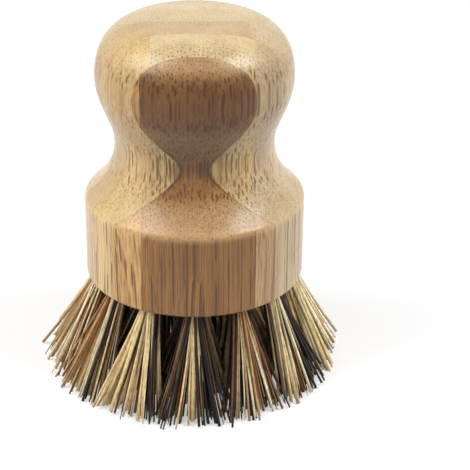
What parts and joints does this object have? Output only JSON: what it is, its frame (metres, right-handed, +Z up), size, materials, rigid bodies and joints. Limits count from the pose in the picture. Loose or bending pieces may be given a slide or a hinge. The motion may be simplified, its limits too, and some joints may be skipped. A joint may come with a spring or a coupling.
{
  "type": "palm brush",
  "caption": "Round palm brush with a turned knob of laminated bamboo and splayed stiff plant-fibre bristles stapled into its base.",
  "frame": {"origin": "on the handle's axis, level with the trimmed bristle tips that the brush stands on", "axes": "+Z up along the handle's axis, -Y the front that the picture shows, +X to the right in the picture"},
  "size_m": [0.0639, 0.0636, 0.08],
  "materials": {
    "bamboo_brown": "satin oiled bamboo, darker strip",
    "bamboo_tan": "satin oiled bamboo",
    "bamboo_pale": "satin oiled bamboo, paler strip",
    "bristle_fibre": "stiff mixed plant fibre, matt",
    "staple_steel": "plain flat wire"
  },
  "bodies": {
    "root": {"centre_tuft": "bristle_fibre", "inner_staples": "staple_steel", "inner_tuft_1": "bristle_fibre", "inner_tuft_2": "bristle_fibre", "inner_tuft_3": "bristle_fibre", "inner_tuft_4": "bristle_fibre", "middle_staples": "staple_steel", "middle_tuft_1": "bristle_fibre", "middle_tuft_2": "bristle_fibre", "middle_tuft_3": "bristle_fibre", "middle_tuft_4": "bristle_fibre", "middle_tuft_5": "bristle_fibre", "middle_tuft_6": "bristle_fibre", "middle_tuft_7": "bristle_fibre", "middle_tuft_8": "bristle_fibre", "outer_staples": "staple_steel", "outer_tuft_1": "bristle_fibre", "outer_tuft_10": "bristle_fibre", "outer_tuft_11": "bristle_fibre", "outer_tuft_12": "bristle_fibre", "outer_tuft_13": "bristle_fibre", "outer_tuft_2": "bristle_fibre", "outer_tuft_3": "bristle_fibre", "outer_tuft_4": "bristle_fibre", "outer_tuft_5": "bristle_fibre", "outer_tuft_6": "bristle_fibre", "outer_tuft_7": "bristle_fibre", "outer_tuft_8": "bristle_fibre", "outer_tuft_9": "bristle_fibre", "ply_1_left_strip_base": "bamboo_tan", "ply_1_left_strip_knob": "bamboo_tan", "ply_1_middle_strip": "bamboo_brown", "ply_1_right_strip": "bamboo_tan", "ply_2_left_strip": "bamboo_pale", "ply_2_middle_strip": "bamboo_pale", "ply_2_right_strip": "bamboo_pale", "ply_3_left_strip": "bamboo_tan", "ply_3_middle_strip": "bamboo_tan", "ply_3_right_strip": "bamboo_tan", "ply_4_left_strip": "bamboo_tan", "ply_4_middle_strip": "bamboo_tan", "ply_4_right_strip": "bamboo_tan", "ply_5_left_strip": "bamboo_pale", "ply_5_right_strip": "bamboo_pale", "ply_6_left_strip": "bamboo_tan", "ply_6_right_strip": "bamboo_tan", "ply_7_strip_base": "bamboo_tan", "ply_7_strip_knob": "bamboo_tan"}
  },
  "joints": []
}
